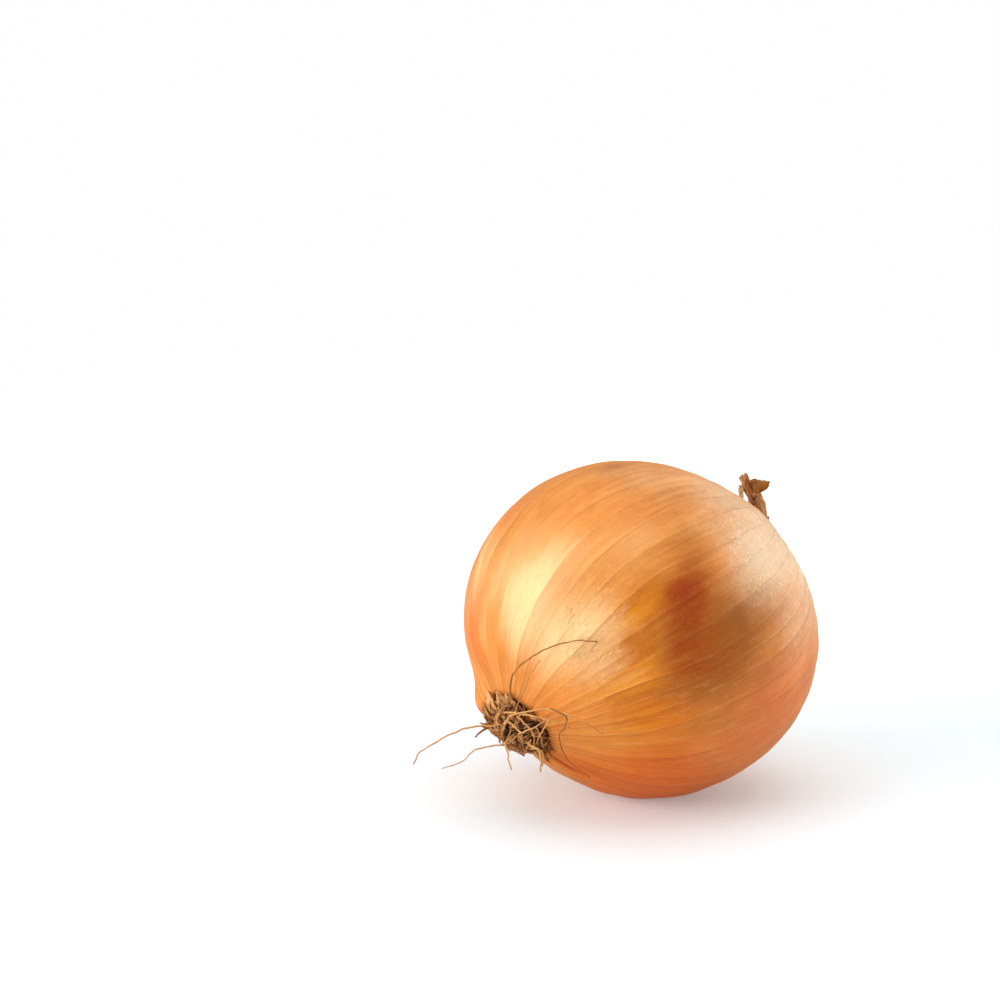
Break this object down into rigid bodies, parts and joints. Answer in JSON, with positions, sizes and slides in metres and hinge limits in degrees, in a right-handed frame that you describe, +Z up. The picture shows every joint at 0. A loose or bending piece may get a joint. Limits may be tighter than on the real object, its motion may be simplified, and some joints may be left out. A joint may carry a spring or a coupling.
{
  "type": "yellow onion",
  "caption": "Whole yellow onion lying on its side: a round bulb in glossy dry skin, with a mat of dry roots at one end and a torn papery neck at the other.",
  "frame": {"origin": "on the table, in the small flat spot that the onion rests on, straight under the middle of the bulb", "axes": "+Z up from the table, +X towards the neck end, -X towards the roots, which point down at 31 degrees, Y across"},
  "size_m": [0.103, 0.0829, 0.081],
  "materials": {
    "skin": "dry onion skin, satin gloss",
    "roots": "dry fibrous roots, matt",
    "neck": "dry torn neck skin, matt"
  },
  "bodies": {
    "root": {"bulb": "skin", "root_tuft": "roots", "neck": "neck"}
  },
  "joints": []
}
